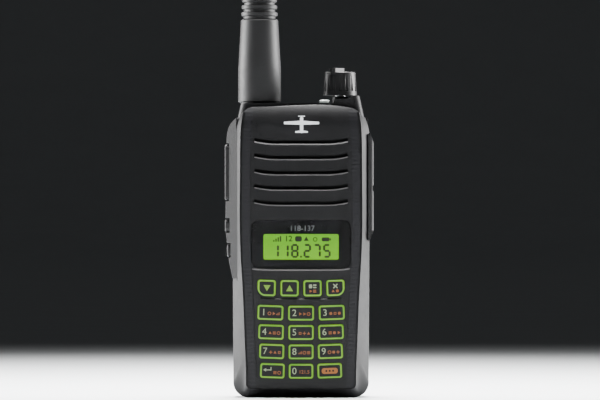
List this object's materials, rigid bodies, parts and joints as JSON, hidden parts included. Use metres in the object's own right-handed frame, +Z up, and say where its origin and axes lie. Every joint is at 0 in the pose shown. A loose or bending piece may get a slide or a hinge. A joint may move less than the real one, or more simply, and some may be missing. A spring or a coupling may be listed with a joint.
{
  "type": "handheld aviation radio",
  "caption": "Black handheld airband transceiver with a keypad, backlit display, speaker slots, volume knob, side talk button, slide-off battery and rubber whip antenna.",
  "frame": {"origin": "middle of the base face the radio stands on", "axes": "+Z up along the antenna, -Y out of the front panel, +X to the right of someone facing the front"},
  "size_m": [0.0573, 0.0356, 0.2991],
  "materials": {
    "case_plastic": "fine spark-eroded texture, black",
    "battery_plastic": "fine texture, black",
    "chassis_metal": "die-cast, black coated",
    "key_silicone": "translucent silicone, lit yellow-green",
    "mat_silicone": "translucent silicone",
    "side_rubber": "satin black",
    "window_plastic": "hard-coated clear polycarbonate",
    "display_glass": "lit yellow-green",
    "light_plastic": "milky",
    "board": "solder mask",
    "shield_steel": "plated",
    "cloth": "woven mesh",
    "cone_plastic": "plain",
    "jack_plastic": "plain",
    "shaft_steel": "turned",
    "knob_plastic": "satin",
    "lens_plastic": "translucent pale",
    "connector_nickel": "nickel plated",
    "contact_gold": "gold plated",
    "antenna_rubber": "satin black",
    "antenna_wire": "wound wire",
    "cell_wrap": "shrink wrap",
    "latch_plastic": "satin",
    "clip_plastic": "fine texture"
  },
  "bodies": {
    "radio": {"antenna_jack": "connector_nickel", "battery_terminals": "contact_gold", "chassis": "chassis_metal", "chassis_screws": "shield_steel", "clip_base": "clip_plastic", "clip_pin": "shield_steel", "clip_screws": "shield_steel", "display_window": "window_plastic", "front_board": "board", "front_case": "case_plastic", "jack_cover_root": "side_rubber", "keypad_mat": "mat_silicone", "lcd_panel": "display_glass", "light_guide": "light_plastic", "main_board": "board", "mic_jack": "jack_plastic", "microphone": "cone_plastic", "shield_cans": "shield_steel", "speaker_cloth": "cloth", "speaker_cone": "cone_plastic", "speaker_frame": "shield_steel", "speaker_jack": "jack_plastic", "status_lens": "lens_plastic", "top_housing": "case_plastic", "volume_control": "jack_plastic"},
    "key_down": {"key_down": "key_silicone"},
    "key_up": {"key_up": "key_silicone"},
    "key_memory": {"key_memory": "key_silicone"},
    "key_clear": {"key_clear": "key_silicone"},
    "key_1": {"key_1": "key_silicone"},
    "key_2": {"key_2": "key_silicone"},
    "key_3": {"key_3": "key_silicone"},
    "key_4": {"key_4": "key_silicone"},
    "key_5": {"key_5": "key_silicone"},
    "key_6": {"key_6": "key_silicone"},
    "key_7": {"key_7": "key_silicone"},
    "key_8": {"key_8": "key_silicone"},
    "key_9": {"key_9": "key_silicone"},
    "key_enter": {"key_enter": "key_silicone"},
    "key_0": {"key_0": "key_silicone"},
    "key_function": {"key_function": "key_silicone"},
    "ptt": {"ptt_button": "side_rubber"},
    "upper_side_key": {"side_key_upper": "side_rubber"},
    "lower_side_key": {"side_key_lower": "side_rubber"},
    "volume": {"volume_knob": "knob_plastic", "volume_shaft": "shaft_steel"},
    "cover": {"jack_cover": "side_rubber"},
    "latch": {"battery_latch": "latch_plastic"},
    "battery": {"battery_case": "battery_plastic", "battery_cover": "battery_plastic", "battery_cells": "cell_wrap", "battery_contacts": "contact_gold"},
    "antenna_washer": {"antenna_seal": "antenna_rubber"},
    "antenna": {"antenna_sheath": "antenna_rubber", "antenna_core": "antenna_wire", "antenna_plug_shell": "connector_nickel", "antenna_pin": "contact_gold"},
    "clip": {"clip_arm": "clip_plastic"}
  },
  "joints": [
    {"name": "key_down_press", "type": "slide", "parent": "radio", "child": "key_down", "axis": [0, 1, 0], "range_m": [0, 0.0008], "stiffness_N_per_m": 300},
    {"name": "key_up_press", "type": "slide", "parent": "radio", "child": "key_up", "axis": [0, 1, 0], "range_m": [0, 0.0008], "stiffness_N_per_m": 300},
    {"name": "key_memory_press", "type": "slide", "parent": "radio", "child": "key_memory", "axis": [0, 1, 0], "range_m": [0, 0.0008], "stiffness_N_per_m": 300},
    {"name": "key_clear_press", "type": "slide", "parent": "radio", "child": "key_clear", "axis": [0, 1, 0], "range_m": [0, 0.0008], "stiffness_N_per_m": 300},
    {"name": "key_1_press", "type": "slide", "parent": "radio", "child": "key_1", "axis": [0, 1, 0], "range_m": [0, 0.0008], "stiffness_N_per_m": 300},
    {"name": "key_2_press", "type": "slide", "parent": "radio", "child": "key_2", "axis": [0, 1, 0], "range_m": [0, 0.0008], "stiffness_N_per_m": 300},
    {"name": "key_3_press", "type": "slide", "parent": "radio", "child": "key_3", "axis": [0, 1, 0], "range_m": [0, 0.0008], "stiffness_N_per_m": 300},
    {"name": "key_4_press", "type": "slide", "parent": "radio", "child": "key_4", "axis": [0, 1, 0], "range_m": [0, 0.0008], "stiffness_N_per_m": 300},
    {"name": "key_5_press", "type": "slide", "parent": "radio", "child": "key_5", "axis": [0, 1, 0], "range_m": [0, 0.0008], "stiffness_N_per_m": 300},
    {"name": "key_6_press", "type": "slide", "parent": "radio", "child": "key_6", "axis": [0, 1, 0], "range_m": [0, 0.0008], "stiffness_N_per_m": 300},
    {"name": "key_7_press", "type": "slide", "parent": "radio", "child": "key_7", "axis": [0, 1, 0], "range_m": [0, 0.0008], "stiffness_N_per_m": 300},
    {"name": "key_8_press", "type": "slide", "parent": "radio", "child": "key_8", "axis": [0, 1, 0], "range_m": [0, 0.0008], "stiffness_N_per_m": 300},
    {"name": "key_9_press", "type": "slide", "parent": "radio", "child": "key_9", "axis": [0, 1, 0], "range_m": [0, 0.0008], "stiffness_N_per_m": 300},
    {"name": "key_enter_press", "type": "slide", "parent": "radio", "child": "key_enter", "axis": [0, 1, 0], "range_m": [0, 0.0008], "stiffness_N_per_m": 300},
    {"name": "key_0_press", "type": "slide", "parent": "radio", "child": "key_0", "axis": [0, 1, 0], "range_m": [0, 0.0008], "stiffness_N_per_m": 300},
    {"name": "key_function_press", "type": "slide", "parent": "radio", "child": "key_function", "axis": [0, 1, 0], "range_m": [0, 0.0008], "stiffness_N_per_m": 300},
    {"name": "ptt_press", "type": "slide", "parent": "radio", "child": "ptt", "axis": [1, 0, 0], "range_m": [0, 0.0009], "stiffness_N_per_m": 900},
    {"name": "upper_side_press", "type": "slide", "parent": "radio", "child": "upper_side_key", "axis": [1, 0, 0], "range_m": [0, 0.0009], "stiffness_N_per_m": 500},
    {"name": "lower_side_press", "type": "slide", "parent": "radio", "child": "lower_side_key", "axis": [1, 0, 0], "range_m": [0, 0.0009], "stiffness_N_per_m": 500},
    {"name": "volume_turn", "type": "hinge", "parent": "radio", "child": "volume", "pos_m": [0.01505, 0.001, 0.11575], "axis": [0, 0, 1], "range_deg": [-280, 0]},
    {"name": "cover_open", "type": "hinge", "parent": "radio", "child": "cover", "pos_m": [0.02775, -0.0046, 0.0639], "axis": [0, 1, 0], "range_deg": [0, 110], "stiffness_Nm_per_rad": 0.004},
    {"name": "latch_slide", "type": "slide", "parent": "radio", "child": "latch", "axis": [0, -1, 0], "range_m": [0, 0.0015], "stiffness_N_per_m": 600},
    {"name": "battery_slide", "type": "slide", "parent": "radio", "child": "battery", "axis": [0, 0, -1], "range_m": [0, 0.09]},
    {"name": "antenna_turn", "type": "hinge", "parent": "radio", "child": "antenna_washer", "pos_m": [-0.01595, 0.001, 0.1131], "axis": [0, 0, 1], "range_deg": [0, 90]},
    {"name": "antenna_rise", "type": "slide", "parent": "antenna_washer", "child": "antenna", "axis": [0, 0, 1], "range_m": [0, 0.0016]},
    {"name": "clip_open", "type": "hinge", "parent": "radio", "child": "clip", "pos_m": [0, 0.01855, 0.099], "axis": [1, 0, 0], "range_deg": [0, 25], "stiffness_Nm_per_rad": 1.2}
  ],
  "couplings": [
    {"joint": "antenna_turn", "follows": "antenna_rise", "rad_per_m": 981.7}
  ]
}
